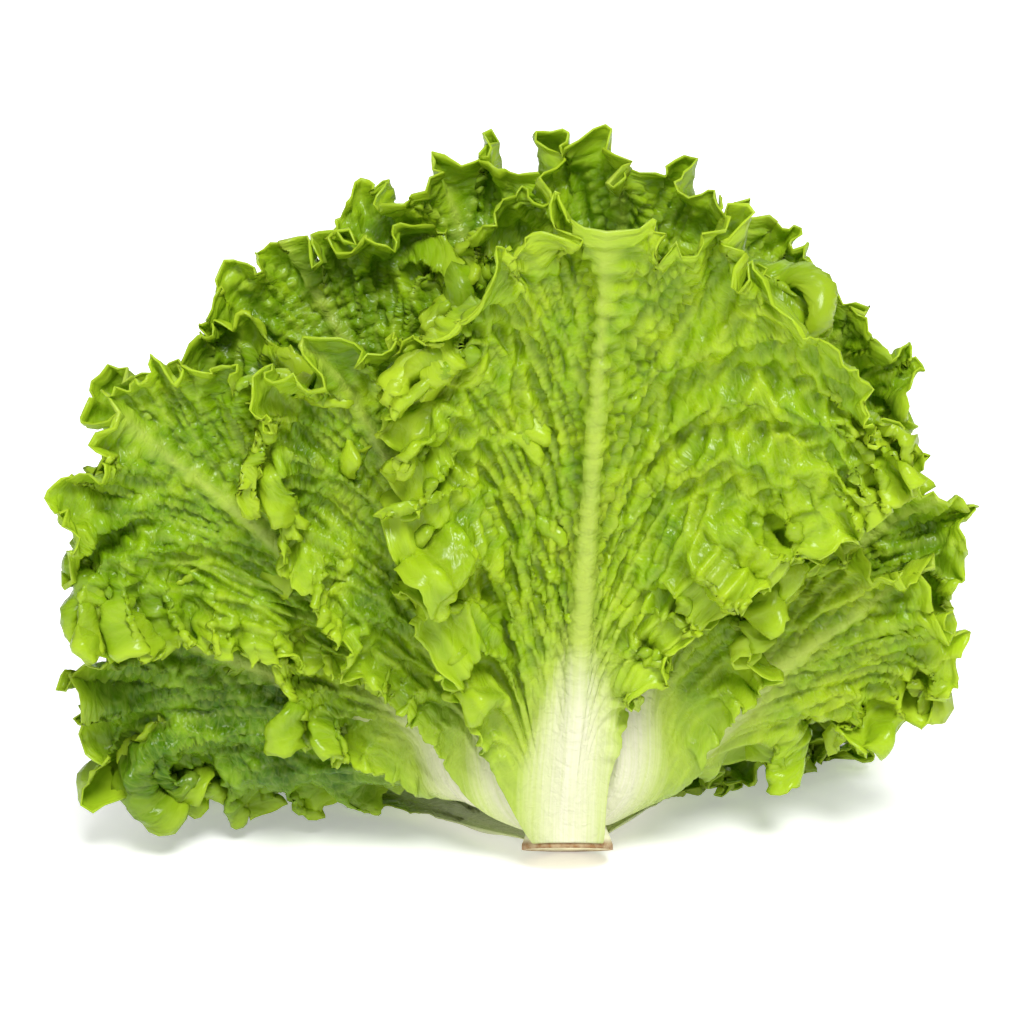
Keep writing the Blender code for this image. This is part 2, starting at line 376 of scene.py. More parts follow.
def laidOnFloor(points, rank):
    lowest = -head["stemRadius"] * sin(head["leanBack"])
    level = lowest + head["leafThickness"] / 2 + head["floorGap"] + head["floorStep"] * rank
    above = (points[..., 2] - level) / head["floorSoftness"]
    height = level + head["floorSoftness"] * np.logaddexp(0.0, above)
    return np.concatenate([points[..., :2], height[..., None]], axis=-1)


def veinLines(laid):
    # The height at which the side vein through each place leaves the midrib
    out = np.abs(laid["flatX"])
    rise = vein["rise"] * (1 - np.exp(-out / vein["bend"])) + vein["tipSlope"] * out
    return laid["share"] * laid["leaf"]["length"] - rise


def foldLines(laid):
    # How far along the margin each place is, from the top to the left (less) or right (more).
    # Inside, it is the mean over the margin that is near
    x, y = laid["flatX"], laid["share"] * laid["leaf"]["length"]
    marginX = np.concatenate([x[:-1, 0], x[-1], x[-2::-1, -1]])
    marginY = np.concatenate([y[:-1, 0], y[-1], y[-2::-1, -1]])
    travelled = np.concatenate([[0.0], np.cumsum(np.hypot(np.diff(marginX), np.diff(marginY)))])
    steps = np.linspace(0, travelled[-1], folding["marginSteps"])
    stepX, stepY = np.interp(steps, travelled, marginX), np.interp(steps, travelled, marginY)
    top = np.interp(len(x) - 1 + x.shape[1] // 2, np.arange(len(travelled)), travelled)
    total, weights = np.zeros(x.shape), np.zeros(x.shape)
    for step, atX, atY in zip(steps, stepX, stepY):
        weight = ((x - atX) ** 2 + (y - atY) ** 2 + folding["marginBlend"] ** 2) ** -2.0
        total += weight * (step - top)
        weights += weight
    return total / weights


def broadFolds(laid, rank):
    # How far the blade stands out from its smooth shell: outer leaves more, with broad waves
    leaf, share, across = laid["leaf"], laid["share"], laid["across"]
    away = share * leaf["length"]
    lift = spread["outermost"] * max(0, 1 - rank / spread["ranks"]) * smooth(away / spread["from"])
    for foldAcross, foldShare, height, wide, long in leaf["folds"]:
        lift = lift + height * np.exp(-((across - foldAcross) / wide) ** 2
                                      - ((share - foldShare) / long) ** 2)
    seed = spread["seed"] + rank
    wander = softNoise(laid["foldLine"] / spread["wanderLength"], across, 0.5, seed)
    turns = laid["foldLine"] / spread["wave"] + spread["wander"] * wander
    waves = np.sin(2 * pi * (turns + spread["rankShift"] * rank))
    out = smooth(np.abs(laid["flatX"]) / spread["clearOfRib"])
    begun = smooth((away - spread["stillFoot"]) / spread["footBlend"])
    return lift + spread["waveHeight"] * waves * out * begun


def layLeaf(name, rows, columns):
    # The leaf's smooth middle surface, with flat coordinates on the leaf itself
    leaf = {**leafHabit, **leaves[name]}
    rank = leafOrder.index(name)
    order = 1 - rank / (len(leaves) - 1)
    footAngle = head["frontFootHalfAngle"] if rank == 0 else head["footHalfAngle"]
    share = np.linspace(0, 1, rows)[:, None] * np.ones(columns)
    across = np.linspace(-1, 1, columns)
    crowded = np.sign(across) * np.abs(across) ** meshStep["marginCrowding"]
    across = crowded * np.ones((rows, 1))
    leftHalf = leaf["left"] * bladeWidth(share, leaf["waist"][0])
    rightHalf = leaf["right"] * bladeWidth(share, leaf["waist"][1])
    half = np.where(across < 0, leftHalf, rightHalf) + footAngle * ringRadius(order) * (1 - share)
    turned = smooth(share * leaf["length"] / head["turnLength"])
    middle = radians(leaf["foot"]) + radians(leaf["blade"] - leaf["foot"]) * turned
    length = leaf["length"] * share * (1 - head["topRounding"] * np.abs(across) ** 3 * share**2)
    bumps = across * folding["raggedBumps"] + 9.3 * rank
    ragged = softNoise(bumps, 0.5, 0.5, folding["raggedSeed"]) - 0.4
    for lobeAcross, lobeHeight, lobeWide in leaf["lobes"]:
        ragged = ragged + lobeHeight * np.exp(-((across - lobeAcross) / lobeWide) ** 2)
    length = length * (1 + folding["ragged"] * ragged * share**4)
    azimuth = azimuthsAt(order, middle, length, across * half, radians(leaf["blade"]))
    points = laidOnFloor(leanBack(shellPoint(order, azimuth, length)), rank) + shift
    laid = {"share": share, "across": across, "half": half, "flatX": across * half, "leaf": leaf}
    laid["veinLine"] = veinLines(laid)
    laid["foldLine"] = foldLines(laid)
    points = points + gridNormals(points) * broadFolds(laid, rank)[..., None]
    laid["points"] = points
    return laid


def gridFaces(rows, columns):
    corner = (np.arange(rows - 1)[:, None] * columns + np.arange(columns - 1)).ravel()
    return np.stack([corner, corner + 1, corner + columns + 1, corner + columns], axis=1)


def unit(vectors):
    return vectors / np.maximum(np.linalg.norm(vectors, axis=-1, keepdims=True), 1e-9)


def gridNormals(points):
    return unit(np.cross(np.gradient(points, axis=1), np.gradient(points, axis=0)))


def blurred(field, times):
    for _ in range(times):
        padded = np.pad(field, 1, mode="edge")
        field = (padded[:-2, 1:-1] + padded[2:, 1:-1] + padded[1:-1, :-2] + padded[1:-1, 2:]
                 + 4 * field) / 8
    return field


def lowestNear(field):
    padded = np.pad(field, 1, mode="edge")
    rows, columns = field.shape
    return np.min([padded[i:i + rows, j:j + columns] for i in range(3) for j in range(3)], axis=0)


def resampled(field, rows, columns):
    # Bilinear, from a coarse grid to a fine one
    r = np.linspace(0, field.shape[0] - 1, rows)
    c = np.linspace(0, field.shape[1] - 1, columns)
    down = np.array([np.interp(r, np.arange(field.shape[0]), column) for column in field.T]).T
    return np.array([np.interp(c, np.arange(field.shape[1]), row) for row in down])


def measureRoom(rows=41, columns=25, far=0.03):
    # How far each leaf can move outwards and inwards before it meets the next one
    laid = [layLeaf(name, rows, columns)["points"] for name in leafOrder]
    faces = gridFaces(rows, columns)
    vertices = np.concatenate([points.reshape(-1, 3) for points in laid])
    polygons = np.concatenate([faces + rows * columns * i for i in range(len(laid))])
    tree = BVHTree.FromPolygons(vertices.tolist(), polygons.tolist())
    room = {}
    for i, name in enumerate(leafOrder):
        normals = gridNormals(laid[i])
        sides = []
        for sign in (1, -1):
            found = np.full(rows * columns, far)
            for v, (point, normal) in enumerate(
                zip(laid[i].reshape(-1, 3), (normals * sign).reshape(-1, 3))
            ):
                start, reach = Vector(point), far
                direction = Vector(normal)
                travelled = 0.0
                while travelled < far:
                    _, _, face, away = tree.ray_cast(start + direction * 1e-5, direction, reach)
                    if face is None:
                        break
                    travelled += away + 1e-5
                    if face // len(faces) != i:
                        found[v] = travelled
                        break
                    start += direction * (away + 1e-5)
                    reach = far - travelled
            sides.append(blurred(lowestNear(found.reshape(rows, columns)), 7))
        room[name] = sides
    return room


def marginFrame(points, marginDistance, evened):
    # The outward normal, and the direction in the surface that leads to the nearest margin, both
    # of the surface without its finest waves
    points = np.stack([blurred(points[..., axis], evened) for axis in range(3)], axis=-1)
    along, across = np.gradient(points, axis=0), np.gradient(points, axis=1)
    a, b, c = (along**2).sum(-1), (along * across).sum(-1), (across**2).sum(-1)
    dAlong, dAcross = np.gradient(marginDistance, axis=0), np.gradient(marginDistance, axis=1)
    area = np.maximum(a * c - b * b, 1e-16)
    slope = ((c * dAlong - b * dAcross) / area)[..., None] * along
    slope = slope + ((a * dAcross - b * dAlong) / area)[..., None] * across
    return unit(np.cross(across, along)), unit(-slope)


def curled(points, marginDistance, width, turn):
    # Rolls the strip within this width of the margin by an angle that grows to turn at the margin
    normal, outward = marginFrame(points, marginDistance, folding["flareEvened"])
    into = np.maximum(width - np.maximum(marginDistance, 0), 0.0)
    flat, lift = np.zeros(into.shape), np.zeros(into.shape)
    parts = folding["flareParts"]
    for part in range(parts):
        angle = turn * (into * (part + 0.5) / parts / width) ** 2
        flat += np.cos(angle) * into / parts
        lift += np.sin(angle) * into / parts
    return points + outward * (flat - into)[..., None] + normal * lift[..., None]


def withinBox(points):
    # Softly kept above the floor, and no further ahead of the solid model than a frill's depth
    def atLeast(value, level, softness):
        return level + softness * np.logaddexp(0.0, (value - level) / softness)

    y = atLeast(points[..., 1], cadBox[0][1] - keptIn["ahead"], keptIn["aheadSoftness"])
    z = atLeast(points[..., 2], cadBox[0][2] + keptIn["aboveFloor"], keptIn["floorSoftness"])
    return np.stack([points[..., 0], y, z], axis=-1)


def ruffleLeaf(laid, room, seed):
    # The leaf's middle with its margins curled out and ruffled. For each place also how far in it
    # lies, how freely it moves so near the foot, and the room outside it
    leaf, across, share, half = laid["leaf"], laid["across"], laid["share"], laid["half"]
    rows, columns = share.shape
    foldLine = laid["foldLine"]
    sideDistance = (1 - np.abs(across)) * half
    topDistance = (1 - share) * leaf["length"]
    soft = folding["cornerSoftness"]
    margin = -soft * np.logaddexp(-sideDistance / soft, -topDistance / soft)
    edge = np.maximum(margin, 0)
    topness = smooth(sideDistance / (sideDistance + topDistance + 1e-5))
    # Between its neighbours a leaf has only the room there is
    outer, inner = (blurred(resampled(side, rows, columns), folding["roomEvened"]) for side in room)
    wideEnough = smooth(half / folding["fullHalfWidth"])
    flareFit = folding["flareUse"] * (outer - folding["flareClearance"]) / folding["flareRoom"]
    flareFit = np.clip(flareFit, 0, 1) * wideEnough
    fit = folding["ruffleUse"] * np.minimum(outer, inner + folding["lentInwards"])
    fit = np.clip(fit / folding["ruffleRoom"], folding["leastRuffle"], 1) * wideEnough
    alive = smooth((share * leaf["length"] - folding["stillFoot"]) / folding["footBlend"])
    flare = leaf["flare"][0] + (leaf["flare"][1] - leaf["flare"][0]) * topness
    widest = folding["ofHalfWidth"] * half
    flareWidth = np.minimum(folding["flareWidth"], widest)
    points = curled(laid["points"], margin, flareWidth, flare * alive * flareFit)
    middleSize, sizeSpread = folding["size"]
    for step, ruffle in enumerate(ruffles):
        wave = ruffle["wave"]
        drift = softNoise(foldLine / (1.7 * wave), edge / (2.5 * ruffle["width"]),
                          1.4 * across, seed + 11 * step)
        phase = 2 * pi * (foldLine / wave + folding["drift"] * drift)
        size = middleSize + sizeSpread * softNoise(
            foldLine / (2.3 * wave), 3.1, 1.1 * across, seed + 7 + 13 * step)
        faded = smooth(1 - edge / np.minimum(ruffle["width"], widest)) ** folding["fade"]
        size = size * alive * fit * leaf["frill"] * faded
        normal, outward = marginFrame(points, margin, ruffle["evened"])
        sideways = unit(np.cross(outward, normal))
        lean = ruffle["over"] * wave / (4 * pi) * np.sin(2 * phase)
        points = points + normal * (ruffle["height"] * np.sin(phase) * size)[..., None]
        points = points + sideways * (lean * size)[..., None]
    # Lobes and teeth along the margin
    _, outward = marginFrame(points, margin, relief["marginEvened"])
    drift = softNoise(foldLine / 0.02, 0.5, 1.3 * across, seed + 90)
    lobes = np.abs(np.sin(pi * (foldLine / relief["lobe"] + 0.6 * drift))) ** 0.7 - 0.6
    teeth = np.abs(np.sin(pi * (foldLine / relief["tooth"] + 1.3 * drift))) ** 0.8 - 0.6
    reach = relief["lobeReach"] * lobes * np.exp(-edge / relief["lobeDepth"])
    reach += relief["toothReach"] * teeth * np.exp(-edge / relief["toothDepth"])
    points = points + outward * (reach * alive)[..., None]
    return withinBox(points), margin, alive, outer


def reliefOf(laid, margin, seed):
    # One height for hollows, puckers and veins, the rib's own height, and where the rib, the veins
    # and the hollows are
    leaf, share, flatX, veinLine = laid["leaf"], laid["share"], laid["flatX"], laid["veinLine"]
    outAcross = np.clip(np.abs(flatX) / relief["veinReach"], 0, 1.6)
    ribWidth = relief["ribHalfWidth"] + (relief["ribTipHalfWidth"] - relief["ribHalfWidth"]) * (
        share**0.55)
    ribHeight = relief["ribHeight"] + (relief["ribTipHeight"] - relief["ribHeight"]) * share**0.5
    rib = np.exp(-np.abs(flatX / ribWidth) ** relief["ribRoundness"])
    inside = smooth(margin / relief["marginStrip"])
    drift = softNoise(veinLine / 0.03, outAcross * 2, flatX * 9, seed + 40)
    lines = veinLine / relief["veinSpacing"] + relief["veinWander"] * drift
    offLine = np.abs(lines - np.round(lines)) * relief["veinSpacing"]
    taper = 1 - relief["veinTaper"] * np.clip(outAcross, 0, 1)
    ridge = np.exp(-(offLine / (relief["veinHalfWidth"] * taper)) ** 2) * taper
    hollowAcross, hollowAlong = relief["hollowSize"]
    outLine = outAcross * 0.12
    warp = relief["warp"] * softNoise(
        veinLine / relief["warpLength"], outLine / relief["warpLength"], 0.3, seed + 50)
    # The two sides of the midrib take different cells
    sided = np.sign(flatX) * 40
    edges = cellEdges(
        veinLine / hollowAcross + warp, outLine / hollowAlong + warp + sided, seed + 60)
    hollow = smooth(edges / 0.5)
    fine = cellEdges(flatX / relief["pucker"] + warp, share * leaf["length"] / relief["pucker"],
                     seed + 70)
    pucker = smooth(fine / 0.45)
    grown = smooth((share * leaf["length"] - relief["smoothFoot"]) / relief["footBlend"])
    atMargin = relief["hollowAtMargin"]
    height = -relief["hollowDepth"] * hollow * grown * (1 - rib) * (
        atMargin + (1 - atMargin) * inside)
    height += relief["puckerHeight"] * pucker * grown * (1 - rib)
    height += relief["veinHeight"] * ridge * grown * (1 - rib) * inside
    return height, ribHeight * rib, rib, ridge, hollow


tint = {
    "lime": 0.8,  # at the margin
    "limeDepth": 0.007,
    "paleFade": 0.55,
    "ribGlow": (0.015, 0.03),  # half width at the foot, and its gain along the leaf
    "blanchedFoot": 0.012,
    "blanchedRib": 0.035,
    "blanchedBlend": 0.070,
    "blanchedOffRib": 0.3,
}


def leafAttributes(laid, margin, rib, ridge, hollow, alive):
    leaf, share = laid["leaf"], laid["share"]
    away = share * leaf["length"]
    atFoot, gain = tint["ribGlow"]
    nearRib = np.exp(-np.abs(laid["flatX"] / (atFoot + gain * away)) ** 2)
    beyond = (away - tint["blanchedFoot"] - tint["blanchedRib"] * nearRib) / tint["blanchedBlend"]
    offRib = tint["blanchedOffRib"]
    return {
        "lime": tint["lime"] * np.exp(-np.maximum(margin, 0) / tint["limeDepth"]) * alive,
        "pale": np.clip(rib * (1 - tint["paleFade"] * share), 0, 1),
        "blanched": (1 - smooth(beyond)) * (offRib + (1 - offRib) * nearRib),
        # where the hollows are, which the leaf material darkens with painted shade
        "vein": ridge,
        "hollow": hollow,
        "tone": np.full(margin.shape, leaf["tone"]),
    }


def addValues(mesh, key, values):
    # One number or one vector for each vertex
    kind, field = ("FLOAT_VECTOR", "vector") if values.ndim > 1 else ("FLOAT", "value")
    attribute = mesh.attributes.new(key, kind, "POINT")
    attribute.data.foreach_set(field, values.astype(np.float32).ravel())


def sheetMesh(name, outer, inner, values, places):
    # A closed sheet: outer face, inner face, and a rim that joins them
    rows, columns = outer.shape[:2]
    count = rows * columns
    vertices = np.concatenate([outer.reshape(-1, 3), inner.reshape(-1, 3)])
    quads = gridFaces(rows, columns)
    rim = np.concatenate([
        np.arange(columns),
        np.arange(1, rows) * columns + columns - 1,
        (rows - 1) * columns + np.arange(columns - 2, -1, -1),
        np.arange(rows - 2, 0, -1) * columns,
    ])
    ahead = np.roll(rim, -1)
    sides = np.stack([ahead, rim, rim + count, ahead + count], axis=1)
    faces = np.concatenate([quads, quads[:, ::-1] + count, sides])
    mesh = bpy.data.meshes.new(name)
    mesh.vertices.add(len(vertices))
    mesh.vertices.foreach_set("co", vertices.astype(np.float32).ravel())
    mesh.loops.add(faces.size)
    mesh.loops.foreach_set("vertex_index", faces.astype(np.int32).ravel())
    mesh.polygons.add(len(faces))
    mesh.polygons.foreach_set("loop_start", np.arange(0, faces.size, 4, dtype=np.int32))
    mesh.update(calc_edges=True)
    for key, value in values.items():
        addValues(mesh, key, np.tile(value.ravel(), 2))
    addValues(mesh, "place", np.tile(places.reshape(-1, 3), (2, 1)))
    mesh.validate()
    mesh.shade_smooth()
    return mesh


def addObject(name, data):
    made = bpy.data.objects.new(name, data)
    bpy.context.scene.collection.objects.link(made)
    return made


def makeLeaf(name, room):
    leaf = {**leafHabit, **leaves[name]}
    rank = leafOrder.index(name)
    seed = 100 + 37 * rank
    rows = int(leaf["length"] * leaf["detail"] / meshStep["along"])
    columns = 2 * int((leaf["left"] + leaf["right"]) * leaf["detail"] / meshStep["across"]) + 1
    laid = layLeaf(name, rows, columns)
    away = laid["share"] * leaf["length"]
    points, margin, alive, outer = ruffleLeaf(laid, room[name], seed)
    height, ribLift, rib, ridge, hollow = reliefOf(laid, margin, seed)
    most = relief["ofRoom"] * outer
    middle = withinBox(points + gridNormals(points) * np.clip(height, -most, most)[..., None])
    normal = gridNormals(middle)
    thick = relief["bladeThickness"]
    ribLift = np.minimum(ribLift, relief["ribOfRoom"] * outer) * smooth(away / relief["ribRise"])
    outerFace = middle + normal * (thick / 2 + ribLift)[..., None]
    innerFace = middle - normal * (thick / 2)
    for face in (outerFace, innerFace):
        face[..., 2] = np.maximum(face[..., 2], cadBox[0][2] + keptIn["leastGap"])
    values = leafAttributes(laid, margin, rib, ridge, hollow, alive)
    places = np.stack([laid["flatX"], away, np.full(margin.shape, 0.37 * rank)], axis=-1)
    mesh = sheetMesh(name + "_sheet", outerFace, innerFace, values, places)
    return addObject(name + "_sheet", mesh)


class Tree:
    # Short ways to add and join a material's nodes
    def __init__(self, tree):
        self.tree = tree

    def add(self, kind, **settings):
        node = self.tree.nodes.new(kind)
        for key, value in settings.items():
            setattr(node, key, value)
        return node

    def join(self, source, target):
        self.tree.links.new(source, target)

    def put(self, socket, value):
        if isinstance(value, bpy.types.NodeSocket):
            self.join(value, socket)
        else:
            socket.default_value = value

    def math(self, operation, first, second=0.0, clamp=False):
        node = self.add("ShaderNodeMath", operation=operation, use_clamp=clamp)
        self.put(node.inputs[0], first)
        self.put(node.inputs[1], second)
        return node.outputs[0]

    def mix(self, share, first, second):
        node = self.add("ShaderNodeMix", data_type="RGBA")
        self.put(node.inputs["Factor"], share)
        self.put(node.inputs["A"], first)
        self.put(node.inputs["B"], second)
        return node.outputs["Result"]

    def ranged(self, value, low, high, toLow=0.0, toHigh=1.0):
        node = self.add("ShaderNodeMapRange")
        self.put(node.inputs["Value"], value)
        node.inputs["From Min"].default_value = low
        node.inputs["From Max"].default_value = high
        node.inputs["To Min"].default_value = toLow
        node.inputs["To Max"].default_value = toHigh
        return node.outputs["Result"]

    def attribute(self, name, output="Fac"):
        return self.add("ShaderNodeAttribute", attribute_name=name).outputs[output]

    def noise(self, vector, scale, detail=3.0, roughness=0.55):
        node = self.add("ShaderNodeTexNoise")
        self.put(node.inputs["Vector"], vector)
        node.inputs["Scale"].default_value = scale
        node.inputs["Detail"].default_value = detail
        node.inputs["Roughness"].default_value = roughness
        return node.outputs["Fac"]

    def bump(self, height, strength, distance):
        node = self.add("ShaderNodeBump")
        node.inputs["Strength"].default_value = strength
        node.inputs["Distance"].default_value = distance
        self.join(height, node.inputs["Height"])
        return node.outputs["Normal"]


def newMaterial(name):
    material = bpy.data.materials.new(name)
    material.use_nodes = True
    return material, Tree(material.node_tree), material.node_tree.nodes["Principled BSDF"]


veinNet = {
    "coarse": 190.0,  # cells for each metre
    "fine": 560.0,
    "fineShare": 0.55,
    "wobble": 160.0,
    "wobbleReach": 0.0035,
}


def groupSocket(group, name, inOut, kind):
    return group.interface.new_socket(name=name, in_out=inOut, socket_type=kind)


def veinNetGroup():
    # A net of fine veins on the leaf: how close a vein is, and a height for bump
    group = bpy.data.node_groups.new("leafVeinNet", "ShaderNodeTree")
    groupSocket(group, "Place", "INPUT", "NodeSocketVector")
    groupSocket(group, "Coarse", "INPUT", "NodeSocketFloat")
    groupSocket(group, "Fine", "INPUT", "NodeSocketFloat")
    groupSocket(group, "Vein", "OUTPUT", "NodeSocketFloat")
    groupSocket(group, "Height", "OUTPUT", "NodeSocketFloat")
    t = Tree(group)
    inputs = t.add("NodeGroupInput")
    outputs = t.add("NodeGroupOutput")
    wobble = t.add("ShaderNodeTexNoise")
    t.join(inputs.outputs["Place"], wobble.inputs["Vector"])
    wobble.inputs["Scale"].default_value = veinNet["wobble"]
    bent = t.add("ShaderNodeVectorMath", operation="MULTIPLY_ADD")
    t.join(wobble.outputs["Color"], bent.inputs[0])
    bent.inputs[1].default_value = (veinNet["wobbleReach"], veinNet["wobbleReach"], 0.0)
    t.join(inputs.outputs["Place"], bent.inputs[2])
    levels = []
    for name, width in (("Coarse", 0.09), ("Fine", 0.13)):
        cells = t.add("ShaderNodeTexVoronoi", feature="DISTANCE_TO_EDGE")
        t.join(bent.outputs["Vector"], cells.inputs["Vector"])
        t.join(inputs.outputs[name], cells.inputs["Scale"])
        levels.append((t.ranged(cells.outputs["Distance"], 0.0, width, 1.0, 0.0),
                       t.ranged(cells.outputs["Distance"], 0.0, 0.4)))
    (coarseVein, coarseHeight), (fineVein, fineHeight) = levels
    vein = t.math("MAXIMUM", coarseVein, t.math("MULTIPLY", fineVein, veinNet["fineShare"]))
    t.join(vein, outputs.inputs["Vein"])
    t.join(t.math("ADD", coarseHeight, t.math("MULTIPLY", fineHeight, 0.4)),
           outputs.inputs["Height"])
    return group


leafFinish = {
    "deep": (0.036, 0.140, 0.002, 1),
    "green": (0.25, 0.46, 0.003, 1),
    "limeGreen": (0.50, 0.68, 0.014, 1),
    "lime": (0.52, 0.70, 0.028, 1),
    "rib": (0.58, 0.70, 0.12, 1),
    "blanched": (0.92, 0.88, 0.70, 1),
    "through": (0.44, 0.68, 0.012, 1),
    "throughShare": 0.32,  # of the leaf's look, as light that comes through it
    "throughTint": 0.55,
    "roughness": (0.17, 0.34),
    "specular": 0.3,
    "mottle": 55.0,
    "mottleSpread": 0.28,
    "speckle": 900.0,
    "fibres": (900.0, 22.0, 1.0),
    # how far painted shade darkens the hollows towards deep green
    "hollowPaintedShade": 0.35,
    "veinPale": 0.42,
    "bumpStrength": 0.55,
    "bumpDepth": 0.0006,
}


def leafMaterial(net):
    material, t, shader = newMaterial("lettuceLeaf")
    output = material.node_tree.nodes["Material Output"]
    place = t.attribute("place", "Vector")
    veins = t.add("ShaderNodeGroup", node_tree=net)
    t.join(place, veins.inputs["Place"])
    veins.inputs["Coarse"].default_value = veinNet["coarse"]
    veins.inputs["Fine"].default_value = veinNet["fine"]
    mottle = t.noise(place, leafFinish["mottle"], 4.0)
    speckle = t.noise(place, leafFinish["speckle"], 2.0)
    # From deep green through green to lime green, with painted shade darkening the hollows and
    # veins paler
    mottled = t.ranged(mottle, 0.3, 0.7, -leafFinish["mottleSpread"], leafFinish["mottleSpread"])
    tone = t.math("ADD", t.attribute("tone"), mottled, clamp=True)
    blade = t.mix(t.ranged(tone, 0.0, 0.55), leafFinish["deep"], leafFinish["green"])
    blade = t.mix(t.ranged(tone, 0.5, 1.0), blade, leafFinish["limeGreen"])
    # Painted shade: the hollows between the veins are darkened towards deep green
    hollowShade = t.math("MULTIPLY", t.attribute("hollow"), leafFinish["hollowPaintedShade"])
    blade = t.mix(hollowShade, blade, leafFinish["deep"])
    lines = t.math("MAXIMUM", t.attribute("vein"), t.math("MULTIPLY", veins.outputs["Vein"], 0.5))
    blade = t.mix(t.math("MULTIPLY", lines, leafFinish["veinPale"]), blade, leafFinish["rib"])
    uneven = t.ranged(mottle, 0.25, 0.75, 0.75, 1.1)
    limeShare = t.math("MULTIPLY", t.attribute("lime"), uneven, clamp=True)
    blade = t.mix(limeShare, blade, leafFinish["lime"])
    blade = t.mix(t.attribute("pale"), blade, leafFinish["rib"])
    # The blanched foot, with fibres along it
    streak = t.add("ShaderNodeMapping")
    t.join(place, streak.inputs["Vector"])
    streak.inputs["Scale"].default_value = leafFinish["fibres"]
    fibre = t.noise(streak.outputs["Vector"], 1.0, 3.0)
    streaked = t.ranged(fibre, 0.3, 0.7, 0.82, 1.08)
    blanch = t.math("MULTIPLY", t.attribute("blanched"), streaked, clamp=True)
    colour = t.mix(t.ranged(blanch, 0.0, 0.55), blade, leafFinish["rib"])
    colour = t.mix(t.ranged(blanch, 0.35, 1.0), colour, leafFinish["blanched"])
    t.join(colour, shader.inputs["Base Color"])
    rough = t.ranged(t.math("ADD", mottle, t.math("MULTIPLY", speckle, 0.4)), 0.4, 1.0,
                     *leafFinish["roughness"])
    t.join(rough, shader.inputs["Roughness"])
    shader.inputs["Specular IOR Level"].default_value = leafFinish["specular"]
    lifted = t.math("ADD", veins.outputs["Height"], t.math("MULTIPLY", speckle, 0.35))
    lifted = t.math("ADD", lifted, t.math("MULTIPLY", fibre, t.attribute("blanched")))
    normal = t.bump(lifted, leafFinish["bumpStrength"], leafFinish["bumpDepth"])
    t.join(normal, shader.inputs["Normal"])
    # Thin leaves let light through
    through = t.add("ShaderNodeBsdfTranslucent")
    tinted = t.mix(leafFinish["throughTint"], colour, leafFinish["through"])
    t.join(tinted, through.inputs["Color"])
    t.join(normal, through.inputs["Normal"])
    both = t.add("ShaderNodeMixShader")
    both.inputs["Fac"].default_value = leafFinish["throughShare"]
    t.join(shader.outputs["BSDF"], both.inputs[1])
    t.join(through.outputs["BSDF"], both.inputs[2])
    t.join(both.outputs["Shader"], output.inputs["Surface"])
    return material


stem = {
    "sides": 120,
    "faceRings": 26,
    "wallRings": 20,
    "faceRelief": 0.0005,
    "faceDish": 0.0006,
    "bumps": 6,  # across half the face
    "seed": 5,
    "rimFrom": 0.80,  # of the face's radius, where the brown begins
    "rimBlend": 0.14,
    "rimHeight": 0.0015,
    "rimSoftness": 0.0025,
    "wallFrom": 0.0012,
    "wallBlend": 0.003,
    "cloud": 260.0,
    "fleck": 1400.0,
    "fleckShare": 0.6,
    "bumpStrength": 0.5,
    "bumpDepth": 0.0005,
    "flesh": (0.72, 0.62, 0.38, 1),
    "rim": (0.30, 0.15, 0.05, 1),
    "skin": (0.80, 0.78, 0.55, 1),
}


def stemMesh():
    # A tapered plug with a rough cut face
    angles = np.linspace(0, 2 * pi, stem["sides"], endpoint=False)
    less = head["footThickness"] / 2 + head["footGap"]
    faceOrders = np.linspace(0, 1, stem["faceRings"])[1:]
    rings, heights = [], []
    for at in faceOrders:
        rings.append(np.full(stem["sides"], at * (ringRadius(1) - less)))
        out = at * stem["bumps"]
        rough = softNoise(out * np.sin(angles), out * np.cos(angles), 0.5, stem["seed"])
        heights.append((stem["faceRelief"] * rough + stem["faceDish"]) * (1 - at**8))
    for order in np.linspace(1, 0, stem["wallRings"]):
        rings.append(np.full(stem["sides"], ringRadius(order) - less))
        heights.append(np.full(stem["sides"], footHeight(order)))
    vertices = [(0.0, 0.0, stem["faceDish"])]
    for ring, height in zip(rings, heights):
        for angle, radius, z in zip(angles, ring, height):
            vertices.append((radius * sin(angle), -radius * cos(angle), z))
    vertices.append((0.0, 0.0, footHeight(0)))
    sides = stem["sides"]
    faces = [(0, 1 + (i + 1) % sides, 1 + i) for i in range(sides)]
    for ring in range(len(rings) - 1):
        for i in range(sides):
            a, b = 1 + ring * sides + i, 1 + ring * sides + (i + 1) % sides
            faces.append((a, b, b + sides, a + sides))
    last = 1 + (len(rings) - 1) * sides
    top = len(vertices) - 1
    faces += [(last + i, last + (i + 1) % sides, top) for i in range(sides)]
    points = leanBack(np.array(vertices)) + shift
    mesh = bpy.data.meshes.new("stem_cut")
    mesh.from_pydata([tuple(map(float, v)) for v in points], [], faces)
    upright = np.array(vertices)
    edge, height = np.hypot(upright[:, 0], upright[:, 1]) / ringRadius(1), upright[:, 2]
    above = smooth((height - stem["rimHeight"]) / stem["rimSoftness"])
    addValues(mesh, "rim", smooth((edge - stem["rimFrom"]) / stem["rimBlend"]) * (1 - above))
    addValues(mesh, "wall", smooth((height - stem["wallFrom"]) / stem["wallBlend"]))
    addValues(mesh, "place", upright)
    mesh.shade_smooth()
    return mesh


